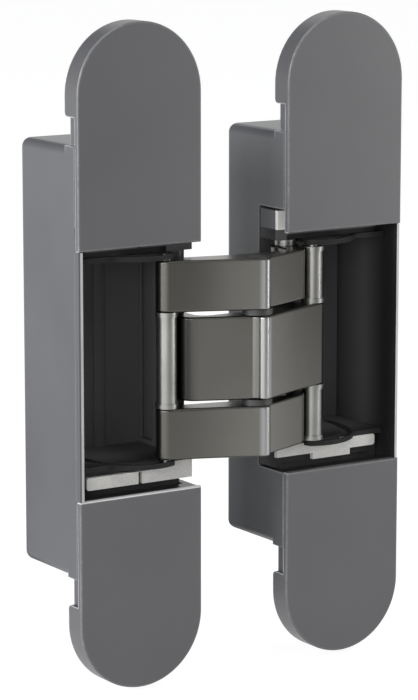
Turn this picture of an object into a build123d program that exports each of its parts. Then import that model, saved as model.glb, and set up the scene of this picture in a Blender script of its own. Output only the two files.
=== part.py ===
from build123d import *
import os
from math import atan2, cos, hypot, pi, sin, sqrt

# A concealed door hinge, open to 180 degrees. X runs across the two bodies, from the frame side to the door
# side, Y runs into the wood and Z is up. The origin is the middle of the frame-side body, on the back of its
# flange, where it rests in the mortise.

# Bodies
body_width = 30.0
body_length = 141.4
body_depth = 23.0
end_length = 25.1
end_wall = 3.6
box_edge_radius = 2.0
open_gap = 22.0
closed_gap = 3.7
wall = 1.5
flange_thickness = 3.4
flange_inset = 1.2
flange_step = 0.25
flange_step_depth = 1.5
rim_depth = 3.8
mouth_gap = 0.35
mouth_corner_radius = 1.0
notch_deep = 11.1

# Clip-on caps
cap_rise = 1.5
cap_plate = 1.2
cap_skirt_wall = 1.1
cap_skirt_depth = 5.2
cap_skirt_gap = 5.9
cap_fit = 0.1
upper_cap_overlap = 5.0
lower_cap_overlap = 0.2
cap_edge_radius = 0.35
cap_skirt_corner_radius = 1.0
cap_pad_radius = 2.2
cap_clip_radius = 1.5
cap_clip_length = 2.6
cap_inner_clip = 3.9
cap_outer_clip = 4.7
cap_rest_gap = 4.0
cap_rest_side = 7.0

# Fixing screws: two in each rounded end
fixing_spacing_x = 12.0
fixing_end = 14.7
fixing_hole_radius = 2.3
fixing_head_radius = 4.2

# Carriages, their plates and the setting screws
carriage_drop = 0.8
carriage_fit = 0.4
carriage_end_gap = 4.0
carriage_back_gap = 0.6
carriage_back = 1.2
guide_thickness = 1.0
block_cover = 11.45
block_front_step = 1.2
guide_rim = 0.6
pivot_clearing = 4.1
side_web = 0.8
side_web_front = 1.2
side_web_window_front = 4.6
side_web_window_end = 1.0
side_web_window_back = 0.5
back_rib_in = 12.6
back_rib_width = 3.0
back_rib_height = 0.5
edge_rib_in = 24.3
edge_rib_width = 0.8
edge_rib_height = 0.6
nose_end_gap = 0.6
plate_front = 3.8
plate_thickness = 1.0
plate_height = 3.9
plate_side_gap = 2.3
plate_corner_radius = 0.6
frame_plate_step_in = 6.4
frame_plate_step = 1.2
frame_plate_slot_in = 13.0
frame_plate_slot_width = 0.9
frame_plate_slot_height = 2.2
door_plate_bar_height = 2.5
door_plate_tab_start = 9.5
door_plate_tab_end = 19.5
door_plate_ear_width = 2.3
door_upper_plate_rise = 1.2
setting_screw_radius = 3.0
setting_screw_length = 8.0
setting_socket_across = 3.0
setting_socket_depth = 3.0
setting_hole_radius = 3.6
height_travel_up = 1.8
height_travel_down = 1.2

# Linkage: how far in from the side next to the other body, and how deep behind the caps' front
pivot_in = 3.3
pivot_deep = 6.0
slide_in = 7.7
slide_deep = 1.7
centre_deep = -4.5
ridge_deep = -7.35
ridge_radius = 1.25
ridge_lean = 0.46
ridge_step_across = 1.4
ridge_step_deep = -6.75
panel_waist = (12.4, -3.1)
hook_panel_waist = (9.2, -3.65)
hook_panel_lean = 0.42
hook_corner_radius = 4.0
hook_corner_deep = 1.9
hook_inner_radius = 2.5
hook_side_reach = 1.6
hook_width = 4.3
back_deep = -0.4
centre_boss_radius = 3.0
pivot_boss_radius = 3.1
slide_end_radius = 2.3
slide_end_lean = 0.36
link_edge_radius = 0.5
inner_link_share = 0.4225
link_end_gap = 0.35
tier_gap = 1.3

# Pins
centre_pin_radius = 2.0
pivot_pin_radius = 1.5
pivot_tip_radius = 1.0
slide_pin_radius = 1.25
slide_tip_radius = 1.0
slide_slot_fit = 0.1
pin_fit = 0.03
sleeve_radius = 2.2
bush_radius = 2.3
centre_washer_radius = 3.4
slide_washer_radius = 2.45
slide_washer_thickness = 1.0
running_gap = 0.08
slot_steps = 10

# Places that follow from the sizes above. Heights in a body start at its middle, in the linkage at its own.
middle_x = body_width / 2 + open_gap / 2
box_length = body_length - 2 * end_length
cavity_length = box_length - 2 * end_wall
carriage_length = cavity_length - 2 * carriage_end_gap
seat_end = carriage_length / 2 - block_cover
guide_end = seat_end - plate_height
guide_start = guide_end - guide_thickness
stack_half = guide_start - link_end_gap
inner_half = inner_link_share * stack_half
lowest_drop = max(carriage_drop + height_travel_down, height_travel_up - carriage_drop)
mouth_length = 2 * (seat_end + lowest_drop + mouth_gap)
setting_place = (seat_end + carriage_length / 2) / 2
slide_tip_end = guide_end - slide_slot_fit
cap_skirt_start = box_length / 2 + cap_skirt_gap
cap_clip_places = (box_length / 2 + cap_inner_clip, body_length / 2 - cap_outer_clip)
cap_rest_place = mouth_length / 2 + cap_rest_gap
upper_cap_length = (body_length - mouth_length) / 2 + upper_cap_overlap
lower_cap_length = (body_length - mouth_length) / 2 + lower_cap_overlap

# Depths behind the caps' front
flange_deep = cap_rise + flange_thickness
box_deep = cap_rise + body_depth
cavity_deep = box_deep - wall
carriage_deep = cavity_deep - carriage_back_gap
plate_back_deep = plate_front + plate_thickness
block_deep = plate_back_deep + block_front_step

os.makedirs("parts", exist_ok=True)


def turned(vector, angle):
    """A plane vector turned by an angle in radians."""
    return (
        cos(angle) * vector[0] - sin(angle) * vector[1],
        sin(angle) * vector[0] + cos(angle) * vector[1],
    )


def closing_turn():
    """How far each link turns about its own pivot from open to closed, in radians."""
    open_arm = (-open_gap / 2 - pivot_in, centre_deep - pivot_deep)
    reach = hypot(*open_arm)
    closed_drop = -closed_gap / 2 - pivot_deep
    closed_arm = (sqrt(reach**2 - closed_drop**2), closed_drop)
    return (atan2(closed_arm[1], closed_arm[0]) - atan2(open_arm[1], open_arm[0])) % (2 * pi)


def slide_path(closed_share):
    """Where a slide pin stands in its carriage, as (in, deep), at a share of the closing motion."""
    fold = closing_turn()
    arm = turned((-open_gap / 2 - pivot_in, centre_deep - pivot_deep), fold * closed_share)
    tail = turned((slide_in + open_gap / 2, slide_deep - centre_deep), (pi - fold) * closed_share)
    return (pivot_in + arm[0] + tail[0], pivot_deep + arm[1] + tail[1])


def body_x(side, inward):
    """X of a place in one body: side is -1 for the frame and 1 for the door."""
    return middle_x + side * (open_gap / 2 + inward)


def deep_y(deep):
    """Y of a depth that is measured from the caps' front."""
    return deep - flange_deep


def centre_x(side):
    return body_x(side, body_width / 2)


def internal_z(height):
    """Z of a height that is measured from the middle of the linkage."""
    return height - carriage_drop


def save(part, label):
    part.label = label
    export_step(part, f"parts/{label}.step")


def box_between(x_pair, y_pair, z_pair, mode=Mode.ADD):
    """A block between two corners, inside the current part."""
    with Locations((sum(x_pair) / 2, sum(y_pair) / 2, sum(z_pair) / 2)):
        Box(
            abs(x_pair[1] - x_pair[0]),
            abs(y_pair[1] - y_pair[0]),
            abs(z_pair[1] - z_pair[0]),
            mode=mode,
        )


def rod(place, radius, z_pair, mode=Mode.ADD):
    """An upright cylinder between two heights of the linkage, inside the current part."""
    with Locations((place[0], place[1], internal_z(sum(z_pair) / 2))):
        Cylinder(radius, abs(z_pair[1] - z_pair[0]), mode=mode)


def ring(place, radius, bore, z_pair):
    """An upright ring between two heights of the linkage, inside the current part."""
    rod(place, radius, z_pair)
    rod(place, bore, z_pair, Mode.SUBTRACT)


def rounded_end(radius, start, end, mode=Mode.ADD):
    """A strip that ends in a half circle, in the current sketch: start and end are heights, up or down."""
    up = 1 if end > start else -1
    turn_z = end - up * radius
    with Locations((0, (start + turn_z) / 2)):
        Rectangle(2 * radius, abs(turn_z - start), mode=mode)
    with Locations((0, turn_z)):
        Circle(radius, mode=mode)


def front_plane(side, deep):
    """A plane parallel to the door's face on one body's middle line, with X across and Z up."""
    return Plane(origin=(centre_x(side), deep_y(deep), 0), x_dir=(1, 0, 0), z_dir=(0, -1, 0))


def make_housing(side, label):
    with BuildPart() as housing:
        with BuildSketch(front_plane(side, cap_rise)):
            RectangleRounded(body_width, box_length, box_edge_radius)
        extrude(amount=-body_depth)
        fillet(housing.faces().sort_by(Axis.Y)[-1].edges(), box_edge_radius)
        with BuildSketch(front_plane(side, cap_rise)):
            Rectangle(body_width, box_length)
        extrude(amount=-rim_depth)
        with BuildSketch(front_plane(side, cap_rise)):
            inset = flange_inset + flange_step
            SlotOverall(body_length - 2 * inset, body_width - 2 * inset, rotation=90)
        extrude(amount=-flange_thickness)
        with BuildSketch(front_plane(side, cap_rise + flange_step_depth)):
            SlotOverall(body_length - 2 * flange_inset, body_width - 2 * flange_inset, rotation=90)
        extrude(amount=flange_step_depth - flange_thickness)
        with BuildSketch(front_plane(side, cap_rise)):
            RectangleRounded(body_width - 2 * wall, mouth_length, mouth_corner_radius)
        extrude(amount=-flange_thickness, mode=Mode.SUBTRACT)
        with BuildSketch(front_plane(side, flange_deep)):
            RectangleRounded(body_width - 2 * wall, cavity_length, mouth_corner_radius)
        extrude(amount=flange_deep - cavity_deep, mode=Mode.SUBTRACT)
        box_between(
            (body_x(side, -wall), body_x(side, wall + mouth_corner_radius)),
            (deep_y(0), deep_y(notch_deep)),
            (-mouth_length / 2, mouth_length / 2),
            mode=Mode.SUBTRACT,
        )
        with Locations(front_plane(side, cap_rise)):
            with GridLocations(fixing_spacing_x, body_length - 2 * fixing_end, 2, 2):
                CounterSinkHole(fixing_hole_radius, fixing_head_radius, flange_thickness)
            for place in cap_clip_places:
                with GridLocations(0, 2 * place, 1, 2):
                    Hole(cap_clip_radius + cap_fit, flange_thickness)
            with Locations((0, setting_place - carriage_drop), (0, -setting_place - carriage_drop)):
                Hole(setting_hole_radius, flange_thickness)
    save(housing.part, label)


def make_cap(side, up, length, label):
    end = up * body_length / 2
    with BuildPart() as cap:
        with BuildSketch(front_plane(side, 0)):
            rounded_end(body_width / 2, end - up * length, end)
        extrude(amount=-cap_plate)
        fillet(cap.faces().sort_by(Axis.Y)[0].edges(), cap_edge_radius)
        with BuildSketch(front_plane(side, cap_plate)):
            rounded_end(body_width / 2, up * cap_skirt_start, end)
            rounded_end(
                body_width / 2 - cap_skirt_wall,
                up * (cap_skirt_start - 2 * cap_skirt_wall),
                end - up * cap_skirt_wall,
                mode=Mode.SUBTRACT,
            )
            with Locations((0, (end + up * cap_skirt_start) / 2)):
                Rectangle(body_width, up * end - cap_skirt_start, mode=Mode.INTERSECT)
        extrude(amount=cap_plate - cap_skirt_depth)
        rear_corners = cap.edges().filter_by(Axis.X).group_by(Axis.Y)[-1]
        fillet(rear_corners, cap_skirt_corner_radius)
        with BuildSketch(front_plane(side, cap_plate)):
            with Locations(*[(0, up * place) for place in cap_clip_places]):
                Circle(cap_pad_radius)
            with Locations((0, up * cap_rest_place)):
                with GridLocations(body_width - 2 * cap_rest_side, 0, 2, 1):
                    Circle(cap_pad_radius)
        extrude(amount=cap_plate - cap_rise)
        with BuildSketch(front_plane(side, cap_rise)):
            with Locations(*[(0, up * place) for place in cap_clip_places]):
                Circle(cap_clip_radius)
        extrude(amount=-cap_clip_length)
    save(cap.part, label)


def slot_shape(side, width):
    """The slide pin's track as a strip of a given width, seen from above."""
    steps = [slide_path(step / slot_steps) for step in range(slot_steps + 1)]
    places = [(body_x(side, inward), deep_y(deep)) for inward, deep in steps]
    with BuildSketch() as strip:
        with BuildLine():
            Spline(*places)
        trace(line_width=width)
        with Locations(places[0], places[-1]):
            Circle(width / 2)
    return strip.sketch


def make_carriage(side, label):
    slot_width = 2 * (slide_tip_radius + slide_slot_fit)
    across = (body_x(side, wall + carriage_fit), body_x(side, body_width - wall - carriage_fit))
    with BuildPart() as carriage:
        for up in (1, -1):
            seat_z = internal_z(up * seat_end)
            guide_pair = (internal_z(up * guide_start), internal_z(up * guide_end))
            box_between(
                across,
                (deep_y(block_deep), deep_y(carriage_deep)),
                (guide_pair[1], internal_z(up * carriage_length / 2)),
            )
            box_between(
                (across[0], body_x(side, body_width - wall - plate_side_gap)),
                (deep_y(plate_back_deep), deep_y(carriage_deep)),
                (guide_pair[1], seat_z),
            )
            box_between(across, (deep_y(plate_front), deep_y(carriage_deep)), guide_pair)
            rod(pivot_place(side), pivot_clearing, (up * guide_start, up * guide_end), Mode.SUBTRACT)
            with BuildSketch(Plane.XY.offset(min(guide_pair))):
                add(slot_shape(side, slot_width + 2 * guide_rim))
            extrude(amount=guide_thickness)
            if side > 0:
                box_between(
                    (body_x(side, 0), across[0]),
                    (deep_y(plate_back_deep), deep_y(notch_deep - carriage_back_gap)),
                    (guide_pair[1], up * (mouth_length / 2 - nose_end_gap)),
                )
        back_front = carriage_deep - carriage_back
        pocket_z = (internal_z(-guide_end), internal_z(guide_end))
        box_between(across, (deep_y(back_front), deep_y(carriage_deep)), pocket_z)
        box_between(
            (across[0], body_x(side, wall + carriage_fit + side_web)),
            (deep_y(notch_deep + side_web_front), deep_y(carriage_deep)),
            pocket_z,
        )
        box_between(
            (across[0], body_x(side, wall + carriage_fit + side_web)),
            (deep_y(notch_deep + side_web_window_front), deep_y(back_front - side_web_window_back)),
            (internal_z(side_web_window_end - guide_start), internal_z(guide_start - side_web_window_end)),
            mode=Mode.SUBTRACT,
        )
        with BuildSketch(Plane.XY.offset(internal_z(-guide_end))):
            with Locations((body_x(side, back_rib_in), deep_y(back_front))):
                Ellipse(back_rib_width / 2, back_rib_height)
            with Locations((body_x(side, edge_rib_in), deep_y(back_front - edge_rib_height / 2))):
                Rectangle(edge_rib_width, edge_rib_height)
        extrude(amount=2 * guide_end)
        for up in (1, -1):
            guide_pair = (internal_z(up * guide_start), internal_z(up * guide_end))
            with BuildSketch(Plane.XY.offset(min(guide_pair))):
                add(slot_shape(side, slot_width))
            extrude(amount=guide_thickness, mode=Mode.SUBTRACT)
            rod(pivot_place(side), pivot_tip_radius, (up * guide_end, up * seat_end), Mode.SUBTRACT)
            with BuildSketch(front_plane(side, block_deep)):
                with Locations((0, internal_z(up * setting_place))):
                    Circle(setting_screw_radius)
            extrude(amount=-setting_screw_length, mode=Mode.SUBTRACT)
    save(carriage.part, label)


def plate_strip(side, up, inward_pair, height_pair, mode=Mode.ADD):
    """A rectangle of a plate, in the current sketch, between two places across and two heights."""
    across = [side * (inward - body_width / 2) for inward in inward_pair]
    heights = [internal_z(up * height) for height in height_pair]
    with Locations((sum(across) / 2, sum(heights) / 2)):
        Rectangle(abs(across[1] - across[0]), abs(heights[1] - heights[0]), mode=mode)


def make_frame_plate(up, label):
    reach = body_width - wall - plate_side_gap
    slot_top = seat_end - frame_plate_slot_height
    with BuildPart() as plate:
        with BuildSketch(front_plane(-1, plate_front)) as outline:
            plate_strip(-1, up, (0, frame_plate_step_in), (guide_end, seat_end))
            plate_strip(-1, up, (0, reach), (guide_end + frame_plate_step, seat_end))
            fillet(outline.vertices().group_by(Axis.X)[0], plate_corner_radius)
            slot_pair = (
                frame_plate_slot_in - frame_plate_slot_width / 2,
                frame_plate_slot_in + frame_plate_slot_width / 2,
            )
            plate_strip(-1, up, slot_pair, (slot_top, seat_end), Mode.SUBTRACT)
            with Locations((body_width / 2 - frame_plate_slot_in, internal_z(up * slot_top))):
                Circle(frame_plate_slot_width / 2, mode=Mode.SUBTRACT)
        extrude(amount=-plate_thickness)
    save(plate.part, label)


def make_door_plate(up, label):
    reach = body_width - wall - plate_side_gap
    ear_end = up * (mouth_length / 2 - nose_end_gap) + carriage_drop
    bar_start = guide_end + (door_upper_plate_rise if up > 0 else 0)
    with BuildPart() as plate:
        with BuildSketch(front_plane(1, plate_front)) as outline:
            plate_strip(1, up, (0, reach), (bar_start, bar_start + door_plate_bar_height))
            plate_strip(1, up, (door_plate_tab_start, door_plate_tab_end), (bar_start, seat_end))
            if up > 0:
                plate_strip(1, up, (0, door_plate_ear_width), (guide_end, ear_end))
            fillet(outline.vertices().group_by(Axis.X)[-1], plate_corner_radius)
        extrude(amount=-plate_thickness)
    save(plate.part, label)


def make_setting_screws(side, label):
    places = [(0, internal_z(up * setting_place)) for up in (1, -1)]
    with BuildPart() as screws:
        with BuildSketch(front_plane(side, block_deep)):
            with Locations(*places):
                Circle(setting_screw_radius)
        extrude(amount=-setting_screw_length)
        with BuildSketch(front_plane(side, block_deep)):
            with Locations(*places):
                RegularPolygon(setting_socket_across / 2, 6, major_radius=False)
        extrude(amount=-setting_socket_depth, mode=Mode.SUBTRACT)
    save(screws.part, label)


def pivot_place(side):
    return (body_x(side, pivot_in), deep_y(pivot_deep))


def slide_place(side):
    return (body_x(side, slide_in), deep_y(slide_deep))


def centre_place():
    return (middle_x, deep_y(centre_deep))


def link_shape(hook, centre_bore):
    """A link seen from above: hook is the side of its fixed pivot."""

    def place(across, deep):
        return (middle_x + hook * across, deep_y(deep))

    slide_across = open_gap / 2 + slide_in
    pivot_across = open_gap / 2 + pivot_in
    side_face = pivot_across + hook_side_reach
    inner_face = side_face - hook_width
    boss_side_deep = pivot_deep - pivot_boss_radius / 2
    slide_rim = (slide_end_radius * sin(slide_end_lean), slide_end_radius * cos(slide_end_lean))
    slide_front = place(-slide_across - slide_rim[0], slide_deep - slide_rim[1])
    slide_back = place(-slide_across + slide_rim[0], slide_deep + slide_rim[1])
    ridge_start = place(-ridge_radius * sin(ridge_lean), ridge_deep - ridge_radius * cos(ridge_lean))
    ridge_end = place(ridge_radius, ridge_deep)
    ridge_step = place(ridge_step_across, ridge_step_deep)
    corner_start = place(
        side_face - hook_corner_radius * (1 - sin(hook_panel_lean)),
        hook_corner_deep - hook_corner_radius * cos(hook_panel_lean),
    )
    with BuildSketch() as link:
        with BuildLine():
            Spline(
                slide_front,
                place(-panel_waist[0], panel_waist[1]),
                ridge_start,
                tangents=(
                    (hook * cos(slide_end_lean), -sin(slide_end_lean)),
                    (hook * cos(ridge_lean), -sin(ridge_lean)),
                ),
            )
            Polyline(ridge_start, ridge_end, ridge_step)
            Spline(ridge_step, place(*hook_panel_waist), corner_start)
            TangentArc(
                corner_start,
                place(side_face, hook_corner_deep),
                tangent=(hook * cos(hook_panel_lean), sin(hook_panel_lean)),
            )
            Polyline(
                place(side_face, hook_corner_deep),
                place(side_face, boss_side_deep),
                place(pivot_across, pivot_deep),
                place(inner_face, boss_side_deep),
                place(inner_face, back_deep + hook_inner_radius),
            )
            TangentArc(
                place(inner_face, back_deep + hook_inner_radius),
                place(inner_face - hook_inner_radius, back_deep),
                tangent=(0, -1),
            )
            Polyline(
                place(inner_face - hook_inner_radius, back_deep),
                place(0, back_deep),
                slide_back,
                slide_front,
            )
        make_face()
        with Locations(place(-slide_across, slide_deep)):
            Circle(slide_end_radius)
        with Locations(place(0, ridge_deep)):
            Circle(ridge_radius)
        with Locations(place(0, centre_deep)):
            Circle(centre_boss_radius)
            Circle(centre_bore, mode=Mode.SUBTRACT)
        with Locations(place(pivot_across, pivot_deep)):
            Circle(pivot_boss_radius)
            Circle(pivot_pin_radius + pin_fit, mode=Mode.SUBTRACT)
        with Locations(place(-slide_across, slide_deep)):
            Circle(slide_pin_radius, mode=Mode.SUBTRACT)
    return link.sketch


def make_leaf(hook, z_pair, centre_bore, label):
    with BuildPart() as leaf:
        with BuildSketch(Plane.XY.offset(internal_z(min(z_pair)))):
            add(link_shape(hook, centre_bore))
        extrude(amount=abs(z_pair[1] - z_pair[0]))
        top_and_bottom = leaf.faces().sort_by(Axis.Z)
        rims = top_and_bottom[0].outer_wire().edges() + top_and_bottom[-1].outer_wire().edges()
        fillet(rims, link_edge_radius)
    save(leaf.part, label)


for side, body in ((-1, "frame"), (1, "door")):
    make_housing(side, f"{body}_housing")
    make_cap(side, 1, upper_cap_length, f"{body}_upper_cap")
    make_cap(side, -1, lower_cap_length, f"{body}_lower_cap")
    make_carriage(side, f"{body}_carriage")
    make_setting_screws(side, f"{body}_setting_screws")

    with BuildPart() as pivot_pin:
        rod(pivot_place(side), pivot_pin_radius, (-guide_end, guide_end))
        rod(pivot_place(side), pivot_tip_radius, (-seat_end, seat_end))
    save(pivot_pin.part, f"{body}_pivot_pin")

make_frame_plate(1, "frame_upper_plate")
make_frame_plate(-1, "frame_lower_plate")
make_door_plate(1, "door_upper_plate")
make_door_plate(-1, "door_lower_plate")

# Links: the outer one has two leaves with their fixed pivot in the door, the inner one has its own in the frame
make_leaf(1, (inner_half + tier_gap, stack_half), centre_pin_radius, "outer_link_upper_leaf")
make_leaf(1, (-inner_half - tier_gap, -stack_half), centre_pin_radius, "outer_link_lower_leaf")
make_leaf(-1, (-inner_half, inner_half), centre_pin_radius + pin_fit, "inner_link")

with BuildPart() as centre_pin:
    rod(centre_place(), centre_pin_radius, (-stack_half, stack_half))
save(centre_pin.part, "centre_pin")

with BuildPart() as centre_washers:
    for up in (1, -1):
        ring(
            centre_place(),
            centre_washer_radius,
            centre_pin_radius,
            (up * (inner_half + running_gap), up * (inner_half + tier_gap)),
        )
save(centre_washers.part, "centre_washers")

# Bushes fill the tiers of the fixed pivots that hold no link
with BuildPart() as frame_bushes:
    for up in (1, -1):
        ring(
            pivot_place(-1),
            bush_radius,
            pivot_pin_radius,
            (up * (inner_half + running_gap), up * guide_end),
        )
save(frame_bushes.part, "frame_pivot_bushes")

with BuildPart() as door_bush:
    ring(
        pivot_place(1),
        bush_radius,
        pivot_pin_radius,
        (-inner_half - tier_gap + running_gap, inner_half + tier_gap - running_gap),
    )
save(door_bush.part, "door_pivot_bush")

with BuildPart() as door_pivot_washers:
    for up in (1, -1):
        ring(
            pivot_place(1),
            bush_radius,
            pivot_pin_radius,
            (up * (stack_half + running_gap), up * guide_end),
        )
save(door_pivot_washers.part, "door_pivot_washers")

# Slide pins, with a sleeve and washers in every tier that the link leaves free
for side, body in ((-1, "frame"), (1, "door")):
    with BuildPart() as slide_pin:
        rod(slide_place(side), slide_pin_radius, (-stack_half, stack_half))
        rod(slide_place(side), slide_tip_radius, (-slide_tip_end, slide_tip_end))
    save(slide_pin.part, f"{body}_slide_pin")

with BuildPart() as frame_sleeve:
    sleeve_half = inner_half + tier_gap - slide_washer_thickness
    ring(slide_place(-1), sleeve_radius, slide_pin_radius, (-sleeve_half, sleeve_half))
save(frame_sleeve.part, "frame_slide_sleeve")

with BuildPart() as frame_washers:
    for up in (1, -1):
        ring(
            slide_place(-1),
            slide_washer_radius,
            slide_pin_radius,
            (up * sleeve_half, up * (sleeve_half + slide_washer_thickness)),
        )
save(frame_washers.part, "frame_slide_washers")

with BuildPart() as door_sleeves:
    for up in (1, -1):
        ring(
            slide_place(1),
            sleeve_radius,
            slide_pin_radius,
            (up * (inner_half + slide_washer_thickness), up * (stack_half - slide_washer_thickness)),
        )
save(door_sleeves.part, "door_slide_sleeves")

with BuildPart() as door_washers:
    for up in (1, -1):
        for start in (inner_half, stack_half - slide_washer_thickness):
            ring(
                slide_place(1),
                slide_washer_radius,
                slide_pin_radius,
                (up * start, up * (start + slide_washer_thickness)),
            )
save(door_washers.part, "door_slide_washers")
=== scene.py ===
from math import cos, radians, sin

import bpy
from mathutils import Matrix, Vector


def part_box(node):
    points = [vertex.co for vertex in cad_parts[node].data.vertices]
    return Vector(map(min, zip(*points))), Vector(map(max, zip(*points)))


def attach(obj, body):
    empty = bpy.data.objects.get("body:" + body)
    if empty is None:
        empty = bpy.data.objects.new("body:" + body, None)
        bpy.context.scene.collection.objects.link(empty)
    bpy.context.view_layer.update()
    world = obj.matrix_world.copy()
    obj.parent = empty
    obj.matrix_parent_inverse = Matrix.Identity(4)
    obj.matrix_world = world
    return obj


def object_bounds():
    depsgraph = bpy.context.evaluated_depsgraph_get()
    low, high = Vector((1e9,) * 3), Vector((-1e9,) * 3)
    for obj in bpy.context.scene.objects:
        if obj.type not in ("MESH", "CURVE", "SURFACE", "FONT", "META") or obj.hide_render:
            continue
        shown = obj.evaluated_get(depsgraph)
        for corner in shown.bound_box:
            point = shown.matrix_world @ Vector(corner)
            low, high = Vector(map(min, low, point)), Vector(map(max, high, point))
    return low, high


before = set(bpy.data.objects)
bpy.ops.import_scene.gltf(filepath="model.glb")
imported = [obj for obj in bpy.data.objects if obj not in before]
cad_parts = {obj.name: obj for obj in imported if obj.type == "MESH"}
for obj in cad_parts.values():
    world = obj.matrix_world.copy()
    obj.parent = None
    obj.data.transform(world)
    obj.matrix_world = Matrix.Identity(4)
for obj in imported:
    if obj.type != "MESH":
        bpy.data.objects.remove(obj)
bounds_at_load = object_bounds()


# Housings: the two die-cast bodies that sink into the frame and the door.
# Zinc castings with a satin dark grey coat, its edges lightened for wear and as a painted highlight.
# The pockets are black inside, and so is the front of the flange beside the mouth, which the side rims
# hide from the side; deep in the pockets the black turns lighter, a painted fill light in their shade.
def effect_group(name, inputs, outputs):
    """An empty shader node group with named sockets: the group, its input node and its output node."""
    group = bpy.data.node_groups.new(name, "ShaderNodeTree")
    for label, value in inputs:
        socket = group.interface.new_socket(label, in_out="INPUT", socket_type="NodeSocketFloat")
        socket.default_value = value
    for label in outputs:
        group.interface.new_socket(label, in_out="OUTPUT", socket_type="NodeSocketFloat")
    return group, group.nodes.new("NodeGroupInput"), group.nodes.new("NodeGroupOutput")


def calculated(tree, operation, *values):
    """A Math node: each value is a number or a socket."""
    node = tree.nodes.new("ShaderNodeMath")
    node.operation = operation
    for socket, value in zip(node.inputs, values):
        if isinstance(value, (int, float)):
            socket.default_value = value
        else:
            tree.links.new(value, socket)
    return node.outputs["Value"]


def coat_grain_group():
    """The fine pebble of a coat or casting, and its slow cloudy change of tone."""
    group, given, result = effect_group(
        "coat_grain", [("Pebble Scale", 2600.0), ("Cloud Scale", 60.0)], ["Pebble", "Cloud"]
    )
    place = group.nodes.new("ShaderNodeTexCoord")
    for scale, detail, output in (("Pebble Scale", 3.0, "Pebble"), ("Cloud Scale", 4.0, "Cloud")):
        noise = group.nodes.new("ShaderNodeTexNoise")
        noise.inputs["Detail"].default_value = detail
        group.links.new(place.outputs["Object"], noise.inputs["Vector"])
        group.links.new(given.outputs[scale], noise.inputs["Scale"])
        group.links.new(noise.outputs["Fac"], result.inputs[output])
    return group


def edge_wear_and_painted_light_group():
    """A mask that is 1 on rounded edges, broken up by a fine noise; it carries worn edges, painted edge
    highlights and painted edge shade.
    """
    noise_scale = 900.0
    edge_strength = 9.0
    group, given, result = effect_group("edge_wear_and_painted_light", [("Width", 0.0004), ("Amount", 1.0)], ["Mask"])
    place = group.nodes.new("ShaderNodeTexCoord")
    surface = group.nodes.new("ShaderNodeNewGeometry")
    rounded = group.nodes.new("ShaderNodeBevel")
    rounded.samples = 6
    group.links.new(given.outputs["Width"], rounded.inputs["Radius"])
    alike = group.nodes.new("ShaderNodeVectorMath")
    alike.operation = "DOT_PRODUCT"
    group.links.new(rounded.outputs["Normal"], alike.inputs[0])
    group.links.new(surface.outputs["Normal"], alike.inputs[1])
    noise = group.nodes.new("ShaderNodeTexNoise")
    noise.inputs["Scale"].default_value = noise_scale
    noise.inputs["Detail"].default_value = 4.0
    group.links.new(place.outputs["Object"], noise.inputs["Vector"])
    turned = calculated(group, "SUBTRACT", 1.0, alike.outputs["Value"])
    strong = calculated(group, "MULTIPLY", turned, edge_strength)
    broken = calculated(group, "MULTIPLY", strong, noise.outputs["Fac"])
    scaled = calculated(group, "MULTIPLY", broken, given.outputs["Amount"])
    clipped = calculated(group, "MINIMUM", scaled, 1.0)
    group.links.new(clipped, result.inputs["Mask"])
    return group


coat_grain = coat_grain_group()
edge_wear_and_painted_light = edge_wear_and_painted_light_group()


def placed(tree, group, **values):
    """A group's node with its own values; an underscore in a name stands for a space."""
    node = tree.nodes.new("ShaderNodeGroup")
    node.node_tree = group
    for label, value in values.items():
        node.inputs[label.replace("_", " ")].default_value = value
    return node


def plain_material(name, metallic, roughness, shine=0.5):
    """A material with a Principled shader: the material, its tree and the shader."""
    material = bpy.data.materials.new(name)
    material.use_nodes = True
    tree = material.node_tree
    tree.nodes.clear()
    output = tree.nodes.new("ShaderNodeOutputMaterial")
    shader = tree.nodes.new("ShaderNodeBsdfPrincipled")
    shader.inputs["Metallic"].default_value = metallic
    shader.inputs["Roughness"].default_value = roughness
    shader.inputs["Specular IOR Level"].default_value = shine
    tree.links.new(shader.outputs["BSDF"], output.inputs["Surface"])
    return material, tree, shader


def object_axis(tree, axis):
    """One object coordinate, in metres."""
    place = tree.nodes.new("ShaderNodeTexCoord")
    parts = tree.nodes.new("ShaderNodeSeparateXYZ")
    tree.links.new(place.outputs["Object"], parts.inputs["Vector"])
    return parts.outputs[axis]


def distance_from(tree, value, centre):
    """How far a value is from a centre, on either side."""
    return calculated(tree, "ABSOLUTE", calculated(tree, "SUBTRACT", value, centre))


def all_of(tree, *masks):
    """A mask that is 1 where every one of the masks is."""
    shared = masks[0]
    for mask in masks[1:]:
        shared = calculated(tree, "MULTIPLY", shared, mask)
    return shared


def soft_step(tree, value, start, end):
    """0 up to start, 1 from end on and smooth between; it falls with the value where end is under start."""
    node = tree.nodes.new("ShaderNodeMapRange")
    node.interpolation_type = "SMOOTHSTEP"
    node.inputs["From Min"].default_value = start
    node.inputs["From Max"].default_value = end
    tree.links.new(value, node.inputs["Value"])
    return node.outputs["Result"]


def two_tones(tree, factor, dark, light, start=0.35, end=0.65):
    """A ramp between two colours."""
    ramp = tree.nodes.new("ShaderNodeValToRGB")
    ramp.color_ramp.elements[0].position = start
    ramp.color_ramp.elements[0].color = (*dark, 1)
    ramp.color_ramp.elements[1].position = end
    ramp.color_ramp.elements[1].color = (*light, 1)
    tree.links.new(factor, ramp.inputs["Fac"])
    return ramp.outputs["Color"]


def mixed(tree, factor, first, second):
    """A colour mix: each colour is a tuple or a socket."""
    node = tree.nodes.new("ShaderNodeMix")
    node.data_type = "RGBA"
    tree.links.new(factor, node.inputs["Factor"])
    for socket, value in ((node.inputs["A"], first), (node.inputs["B"], second)):
        if isinstance(value, tuple):
            socket.default_value = (*value, 1)
        else:
            tree.links.new(value, socket)
    return node.outputs["Result"]


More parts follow.
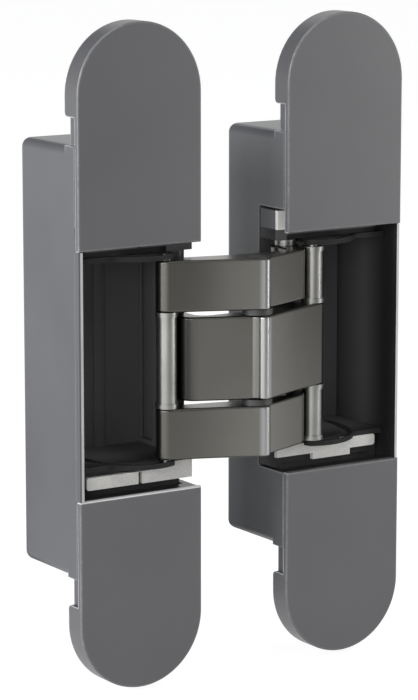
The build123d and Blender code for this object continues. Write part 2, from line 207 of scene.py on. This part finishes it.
def coated(tree, shader, colour, grain, bump_strength):
    """Give the shader its colour, and a bump from the grain's pebble."""
    tree.links.new(colour, shader.inputs["Base Color"])
    bump = tree.nodes.new("ShaderNodeBump")
    bump.inputs["Strength"].default_value = bump_strength
    bump.inputs["Distance"].default_value = 0.0001
    tree.links.new(grain.outputs["Pebble"], bump.inputs["Height"])
    tree.links.new(bump.outputs["Normal"], shader.inputs["Normal"])


def dress(material, *names):
    """Put a material on CAD nodes."""
    for name in names:
        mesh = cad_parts[name].data
        mesh.materials.clear()
        mesh.materials.append(material)


bodies_middle = 0.026
flange_front = -0.0034
face_skin = 0.00005
pocket_half_width = 0.0142
pocket_half_height = 0.0424
pocket_back = 0.0184
mouth_half_height = 0.0289
depth_fill_start, depth_fill_end = -0.002, 0.009
black_front = (0.016, 0.016, 0.0165)
painted_fill_deep = (0.11, 0.11, 0.1105)
housing_coat, tree, shader = plain_material("housing_coat", 0.0, 0.34, shine=0.4)
from_middle = distance_from(tree, object_axis(tree, "X"), bodies_middle)
across = distance_from(tree, from_middle, bodies_middle)
height = calculated(tree, "ABSOLUTE", object_axis(tree, "Z"))
depth = object_axis(tree, "Y")
in_pocket = all_of(
    tree,
    calculated(tree, "LESS_THAN", across, pocket_half_width),
    calculated(tree, "LESS_THAN", height, pocket_half_height),
    calculated(tree, "LESS_THAN", depth, pocket_back),
)
beside_mouth = all_of(
    tree,
    calculated(tree, "LESS_THAN", depth, flange_front + face_skin),
    calculated(tree, "LESS_THAN", height, mouth_half_height),
)
# Painted fill light: the pocket black turns lighter with depth, against the shade deep inside.
painted_depth_fill = soft_step(tree, depth, depth_fill_start, depth_fill_end)
pocket_black_with_painted_fill = two_tones(tree, painted_depth_fill, black_front, painted_fill_deep, 0.0, 1.0)
grain = placed(tree, coat_grain, Pebble_Scale=2600.0, Cloud_Scale=45.0)
worn_and_painted_edges = placed(tree, edge_wear_and_painted_light, Width=0.0006, Amount=1.2)
coat = two_tones(tree, grain.outputs["Cloud"], (0.088, 0.091, 0.098), (0.100, 0.103, 0.110))
# Edges lightened: partly wear, partly a painted highlight.
coat = mixed(tree, worn_and_painted_edges.outputs["Mask"], coat, (0.30, 0.31, 0.32))
coat = mixed(tree, in_pocket, coat, pocket_black_with_painted_fill)
coat = mixed(tree, beside_mouth, coat, black_front)
coated(tree, shader, coat, grain, 0.08)
dress(housing_coat, "frame_housing", "door_housing")

# Side rims: the thin lip beside each mouth, which comes forward between the caps, flush with their front.
# Part of the housing casting and coated like it, black toward the mouth, with a bright front strip that is
# a painted highlight.
# The frame side keeps its coat on the outer strip of the front, and the door side leaves that strip out.
rim_width = 0.001
coated_width = 0.0004
rim_gap = 0.00005
left_side, right_side = 0, 1
rim_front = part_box("frame_upper_cap")[0][1]
coat_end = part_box("frame_housing")[0][0] + coated_width
rim_coat, tree, shader = plain_material("rim_coat", 0.0, 0.34, shine=0.4)
grain = placed(tree, coat_grain, Pebble_Scale=2600.0, Cloud_Scale=90.0)
# Painted highlight: the front strip of the rim is coloured bright.
painted_rim_highlight = all_of(
    tree,
    calculated(tree, "LESS_THAN", object_axis(tree, "Y"), rim_front + face_skin),
    calculated(tree, "GREATER_THAN", object_axis(tree, "X"), coat_end),
)
rim_highlight_tone = two_tones(tree, grain.outputs["Cloud"], (0.44, 0.44, 0.435), (0.54, 0.54, 0.535))
coat = mixed(tree, painted_rim_highlight, (0.094, 0.097, 0.104), rim_highlight_tone)
coated(tree, shader, coat, grain, 0.05)
rim_black, tree, shader = plain_material("rim_black", 0.0, 0.6, shine=0.15)
grain = placed(tree, coat_grain, Pebble_Scale=2600.0, Cloud_Scale=90.0)
black = two_tones(tree, grain.outputs["Cloud"], black_front, (0.022, 0.022, 0.0225))
coated(tree, shader, black, grain, 0.08)
for body in ("frame", "door"):
    housing_low, housing_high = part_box(f"{body}_housing")
    upper_cap_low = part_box(f"{body}_upper_cap")[0]
    lower_cap_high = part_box(f"{body}_lower_cap")[1]
    if body == "frame":
        left, right = housing_low[0], housing_low[0] + rim_width
        mouth_side = right_side
    else:
        left, right = housing_high[0] - rim_width, housing_high[0] - coated_width
        mouth_side = left_side
    low = (left, upper_cap_low[1], lower_cap_high[2] + rim_gap)
    high = (right, housing_low[1], upper_cap_low[2] - rim_gap)
    corners = [(x, y, z) for x in (low[0], high[0]) for y in (low[1], high[1]) for z in (low[2], high[2])]
    sides = [(0, 1, 3, 2), (4, 6, 7, 5), (0, 4, 5, 1), (2, 3, 7, 6), (0, 2, 6, 4), (1, 5, 7, 3)]
    mesh = bpy.data.meshes.new(f"{body}_side_rim")
    mesh.from_pydata(corners, [], sides)
    mesh.materials.append(rim_coat)
    mesh.materials.append(rim_black)
    mesh.polygons[mouth_side].material_index = 1
    side_rim = bpy.data.objects.new(f"{body}_side_rim", mesh)
    bpy.context.scene.collection.objects.link(side_rim)
    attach(side_rim, body)

# Caps: the clip-on covers over the fixing and setting screws.
# Moulded with a flat front and a short skirt, in the same satin grey as the housings.
# The frame side's lower cap has a painted highlight along its top edge where it meets the mouth,
# and every cap edge is lightened as a painted highlight.
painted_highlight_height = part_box("frame_lower_cap")[1][2] - 0.0001
painted_highlight_half_height = 0.00015
cap_coat, tree, shader = plain_material("cap_coat", 0.0, 0.38, shine=0.6)
grain = placed(tree, coat_grain, Pebble_Scale=3000.0, Cloud_Scale=30.0)
worn_and_painted_edges = placed(tree, edge_wear_and_painted_light, Width=0.0005, Amount=1.6)
# Painted highlight: a bright line along the frame lower cap's top edge.
on_painted_highlight = all_of(
    tree,
    calculated(tree, "COMPARE", object_axis(tree, "Z"), painted_highlight_height, painted_highlight_half_height),
    calculated(tree, "LESS_THAN", object_axis(tree, "X"), bodies_middle),
)
coat = two_tones(tree, grain.outputs["Cloud"], (0.084, 0.0835, 0.090), (0.093, 0.0925, 0.099))
# Painted highlight: the cap edges are lightened strongly.
coat = mixed(tree, worn_and_painted_edges.outputs["Mask"], coat, (0.55, 0.555, 0.57))
coat = mixed(tree, on_painted_highlight, coat, (0.68, 0.68, 0.69))
coated(tree, shader, coat, grain, 0.05)
dress(cap_coat, "frame_upper_cap", "frame_lower_cap", "door_upper_cap", "door_lower_cap")

# Carriages: the inner castings that slide in the housings and guide the slide pins.
# Black-coated zinc, nearly matt and rubbed a little brighter along its edges, lighter deeper in as a
# painted fill light in the shade there, and grey like the housings above the upper caps' lower edge.
cap_overlap = 0.0003
caps_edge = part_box("door_upper_cap")[0][2] + cap_overlap
carriage_black, tree, shader = plain_material("carriage_black", 0.0, 0.6, shine=0.15)
grain = placed(tree, coat_grain, Pebble_Scale=2200.0, Cloud_Scale=60.0)
worn_and_painted_edges = placed(tree, edge_wear_and_painted_light, Width=0.0003, Amount=0.25)
above_caps_edge = calculated(tree, "GREATER_THAN", object_axis(tree, "Z"), caps_edge)
# Painted fill light: the black turns lighter with depth, against the shade deep in the housing.
painted_depth_fill = soft_step(tree, object_axis(tree, "Y"), depth_fill_start, depth_fill_end)
coat = two_tones(tree, painted_depth_fill, black_front, painted_fill_deep, 0.0, 1.0)
coat = mixed(tree, worn_and_painted_edges.outputs["Mask"], coat, (0.07, 0.07, 0.069))
coat = mixed(tree, above_caps_edge, coat, (0.16, 0.165, 0.175))
coated(tree, shader, coat, grain, 0.1)
dress(carriage_black, "frame_carriage", "door_carriage")

# Plates and setting screws: stamped sheet on the front of the carriages, and socket screws under the caps.
# Bright zinc plating with a fine crystalline mottle. Below the caps' edge the upper plates are painted
# black as a painted shadow, and above it they are painted brightest, painted light against the cap's shade.
zinc_plating, tree, shader = plain_material("zinc_plating", 0.0, 0.38)
grain = placed(tree, coat_grain, Pebble_Scale=1800.0, Cloud_Scale=2600.0)
upper_plates_painted_shadow = calculated(tree, "GREATER_THAN", object_axis(tree, "Z"), 0.0)
above_caps_edge = calculated(tree, "GREATER_THAN", object_axis(tree, "Z"), caps_edge)
zinc = two_tones(tree, grain.outputs["Cloud"], (0.54, 0.535, 0.52), (0.64, 0.635, 0.62))
# Painted shadow: the upper plates go black below the caps' edge.
zinc = mixed(tree, upper_plates_painted_shadow, zinc, black_front)
# Painted light: brightest above the caps' edge, against the shade there.
zinc = mixed(tree, above_caps_edge, zinc, (0.97, 0.96, 0.94))
coated(tree, shader, zinc, grain, 0.12)
dress(
    zinc_plating,
    "frame_upper_plate",
    "frame_lower_plate",
    "door_upper_plate",
    "door_lower_plate",
    "frame_setting_screws",
    "door_setting_screws",
)

# Links: the scissor arms, one wide casting between the two leaves of the other link.
# Polished castings under a dark warm nickel, satin to the eye, with painted shade toward their ends, on the
# rounded edges and in the inner link's hook, and a painted highlight along the front of the ridge.
shade_start, shade_end = 0.001, 0.020
ridge_core, ridge_edge = 0.0008, 0.0018
ridge_front = -0.0115
hook_core, hook_edge = 0.0110, 0.0130
standing_face, edge_start = 0.15, 0.5
edge_end, lying_face = 0.9, 0.995
inner_low, inner_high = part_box("inner_link")
inner_middle = (inner_low[2] + inner_high[2]) / 2
inner_half = (inner_high[2] - inner_low[2]) / 2
dark_nickel, tree, shader = plain_material("dark_nickel", 1.0, 0.3)
grain = placed(tree, coat_grain, Pebble_Scale=1800.0, Cloud_Scale=50.0)
worn_and_painted_edges = placed(tree, edge_wear_and_painted_light, Width=0.0004, Amount=1.0)
from_ridge = distance_from(tree, object_axis(tree, "X"), bodies_middle)
painted_ridge_highlight = all_of(
    tree,
    soft_step(tree, from_ridge, ridge_edge, ridge_core),
    calculated(tree, "LESS_THAN", object_axis(tree, "Y"), ridge_front),
)
painted_hook_shade = all_of(
    tree,
    soft_step(tree, object_axis(tree, "X"), hook_edge, hook_core),
    calculated(tree, "COMPARE", object_axis(tree, "Z"), inner_middle, inner_half),
)
surface = tree.nodes.new("ShaderNodeNewGeometry")
facing = tree.nodes.new("ShaderNodeSeparateXYZ")
tree.links.new(surface.outputs["Normal"], facing.inputs["Vector"])
upright = calculated(tree, "ABSOLUTE", facing.outputs["Z"])
painted_edge_shade = all_of(
    tree,
    soft_step(tree, upright, standing_face, edge_start),
    soft_step(tree, upright, lying_face, edge_end),
)
nickel = two_tones(tree, grain.outputs["Cloud"], (0.150, 0.145, 0.133), (0.168, 0.163, 0.150))
# Painted shade: darker toward the links' ends.
nickel = mixed(tree, soft_step(tree, from_ridge, shade_start, shade_end), nickel, (0.105, 0.102, 0.093))
# Painted highlight along the front of the ridge.
nickel = mixed(tree, painted_ridge_highlight, nickel, (0.32, 0.325, 0.32))
# Painted shade in the inner link's hook.
nickel = mixed(tree, painted_hook_shade, nickel, (0.03, 0.0295, 0.028))
# Painted shade on the rounded top and bottom edges.
nickel = mixed(tree, painted_edge_shade, nickel, (0.05, 0.049, 0.046))
# Painted shade: the edge mask darkens the links' edges.
nickel = mixed(tree, worn_and_painted_edges.outputs["Mask"], nickel, (0.07, 0.068, 0.064))
coated(tree, shader, nickel, grain, 0.04)
dress(dark_nickel, "outer_link_upper_leaf", "outer_link_lower_leaf", "inner_link")

# Pins, sleeves and their washers: ground steel that turns in the links and slides in the guides.
# Turned and ground bright, with a faint cloudy change of tone.
ground_steel, tree, shader = plain_material("ground_steel", 1.0, 0.34)
grain = placed(tree, coat_grain, Pebble_Scale=900.0, Cloud_Scale=120.0)
steel = two_tones(tree, grain.outputs["Cloud"], (0.24, 0.24, 0.23), (0.29, 0.29, 0.278))
coated(tree, shader, steel, grain, 0.04)
dress(
    ground_steel,
    "centre_pin",
    "frame_pivot_pin",
    "door_pivot_pin",
    "frame_slide_pin",
    "door_slide_pin",
    "frame_slide_sleeve",
    "door_slide_sleeves",
    "frame_slide_washers",
    "door_slide_washers",
    "door_pivot_washers",
)

# Bushes and centre washers: moulded rings that fill the tiers a pin leaves free.
# Black bearing plastic with a low shine.
bearing_black, tree, shader = plain_material("bearing_black", 0.0, 0.45)
grain = placed(tree, coat_grain, Pebble_Scale=1500.0, Cloud_Scale=60.0)
plastic = two_tones(tree, grain.outputs["Cloud"], (0.02, 0.02, 0.02), (0.028, 0.028, 0.028))
coated(tree, shader, plastic, grain, 0.05)
dress(bearing_black, "centre_washers", "frame_pivot_bushes", "door_pivot_bush")


# Floor: a plain pale sheet just under the hinge.
# It shows white and takes the hinge's shadow, and to the light it is a matt grey.
def white_to_sight(tree, lit, white):
    """The white shader for camera, glossy and transmission rays, and the lit one for the others."""
    path = tree.nodes.new("ShaderNodeLightPath")
    sighted = calculated(tree, "MAXIMUM", path.outputs["Is Camera Ray"], path.outputs["Is Glossy Ray"])
    sighted = calculated(tree, "MAXIMUM", sighted, path.outputs["Is Transmission Ray"])
    mix = tree.nodes.new("ShaderNodeMixShader")
    tree.links.new(sighted, mix.inputs["Fac"])
    tree.links.new(lit, mix.inputs[1])
    tree.links.new(white, mix.inputs[2])
    return mix.outputs["Shader"]


floor_gap = 0.0013
floor_width = 6.0
floor_height = bounds_at_load[0][2] - floor_gap
floor_middle = (bodies_middle, 0.3, floor_height)
bpy.ops.mesh.primitive_plane_add(size=floor_width, location=floor_middle)
floor = bpy.context.object
floor.name = "floor"
floor_white = bpy.data.materials.new("floor_white")
floor_white.use_nodes = True
tree = floor_white.node_tree
tree.nodes.clear()
output = tree.nodes.new("ShaderNodeOutputMaterial")
matt = tree.nodes.new("ShaderNodeBsdfDiffuse")
matt.inputs["Color"].default_value = (0.6, 0.6, 0.6, 1)
glow = tree.nodes.new("ShaderNodeEmission")
glow.inputs["Strength"].default_value = 0.9
pale = tree.nodes.new("ShaderNodeBsdfDiffuse")
pale.inputs["Color"].default_value = (0.25, 0.25, 0.25, 1)
shaded = tree.nodes.new("ShaderNodeAddShader")
tree.links.new(glow.outputs["Emission"], shaded.inputs[0])
tree.links.new(pale.outputs["BSDF"], shaded.inputs[1])
shown = white_to_sight(tree, matt.outputs["BSDF"], shaded.outputs["Shader"])
tree.links.new(shown, output.inputs["Surface"])
floor.data.materials.append(floor_white)

# Studio light: a white room to look at, and a dim one to light by.
# A big soft box on the left, two weaker ones in front, and a strip that lights the links' ridge.
world = bpy.data.worlds.new("studio")
bpy.context.scene.world = world
world.use_nodes = True
tree = world.node_tree
tree.nodes.clear()
output = tree.nodes.new("ShaderNodeOutputWorld")
white_room = tree.nodes.new("ShaderNodeBackground")
white_room.inputs["Color"].default_value = (1, 1, 1, 1)
dim_room = tree.nodes.new("ShaderNodeBackground")
dim_room.inputs["Color"].default_value = (0.96, 0.98, 1, 1)
dim_room.inputs["Strength"].default_value = 0.32
shown = white_to_sight(tree, dim_room.outputs["Background"], white_room.outputs["Background"])
tree.links.new(shown, output.inputs["Surface"])
lit_spot = Vector((bodies_middle, 0.01, 0.0))
for name, spot, width, tallness, power, colour in (
    ("left_box", (-1.2, 0.02, 0.15), 0.9, 0.9, 21.0, (0.97, 0.99, 1)),
    ("high_front_box", (0.25, -0.85, 0.95), 0.6, 0.6, 3.5, (1, 0.99, 0.97)),
    ("camera_side_box", (-0.85, -0.8, 0.2), 0.5, 0.5, 4.0, (1, 0.98, 0.96)),
    ("front_strip", (0.39, -0.28, 0.03), 0.08, 0.3, 0.55, (1, 0.99, 0.97)),
):
    light_data = bpy.data.lights.new(name, "AREA")
    light_data.shape = "RECTANGLE"
    light_data.size = width
    light_data.size_y = tallness
    light_data.energy = power
    light_data.color = colour
    lamp = bpy.data.objects.new(name, light_data)
    bpy.context.scene.collection.objects.link(lamp)
    lamp.location = spot
    lamp.rotation_euler = (lit_spot - Vector(spot)).to_track_quat("-Z", "Y").to_euler()

# Black cards: three curved sheets round the hinge and one on the floor, which only reflections see.
# They give the satin metal, the rounded ends and the door side's housing their dark parts.
card_black = bpy.data.materials.new("card_black")
card_black.use_nodes = True
card_black.node_tree.nodes["Principled BSDF"].inputs["Base Color"].default_value = (0.05, 0.05, 0.05, 1)


def black_card(name, corners, sides):
    """A black sheet that neither the camera nor the light sees."""
    mesh = bpy.data.meshes.new(name)
    mesh.from_pydata(corners, [], sides)
    mesh.materials.append(card_black)
    card = bpy.data.objects.new(name, mesh)
    bpy.context.scene.collection.objects.link(card)
    card.visible_camera = False
    card.visible_diffuse = False
    card.visible_shadow = False


card_radius = 0.42
card_steps = 12
for name, start, end, foot, top in (
    ("left_card", -14.0, 24.0, floor_height, 0.3),
    ("right_card", 60.0, 84.0, floor_height, 0.3),
    ("high_back_card", 168.0, 216.0, 0.08, 0.6),
):
    turns = [radians(start + (end - start) * step / card_steps) for step in range(card_steps + 1)]
    arc = [(bodies_middle + card_radius * sin(turn), -card_radius * cos(turn)) for turn in turns]
    corners = [(x, y, z) for x, y in arc for z in (foot, top)]
    sides = [(2 * i, 2 * i + 2, 2 * i + 3, 2 * i + 1) for i in range(card_steps)]
    black_card(name, corners, sides)
floor_card_height = floor_height + 0.0005
floor_card_ends = ((0.05, -0.02, 0.08), (0.3, -0.18, -0.07))
corners = [(x, y, floor_card_height) for y, left, right in floor_card_ends for x in (left, right)]
black_card("floor_card", corners, [(0, 1, 3, 2)])

# Camera: the photograph's long lens, fitted to the edges of the two bodies.
# It stands on the left and a little above.
camera_data = bpy.data.cameras.new("camera")
camera_data.sensor_fit = "VERTICAL"
camera_data.sensor_height = 24.0
camera_data.lens = 102.69
camera_data.shift_x = 0.0043
camera_data.shift_y = -0.001
camera = bpy.data.objects.new("camera", camera_data)
bpy.context.scene.collection.objects.link(camera)
camera.location = (-0.3227, -0.5286, 0.1146)
yaw, pitch = radians(32.9), radians(10.34)
view_direction = Vector((sin(yaw) * cos(pitch), cos(yaw) * cos(pitch), -sin(pitch)))
camera.rotation_euler = view_direction.to_track_quat("-Z", "Y").to_euler()
bpy.context.scene.camera = camera
bpy.context.scene.view_settings.view_transform = "Standard"
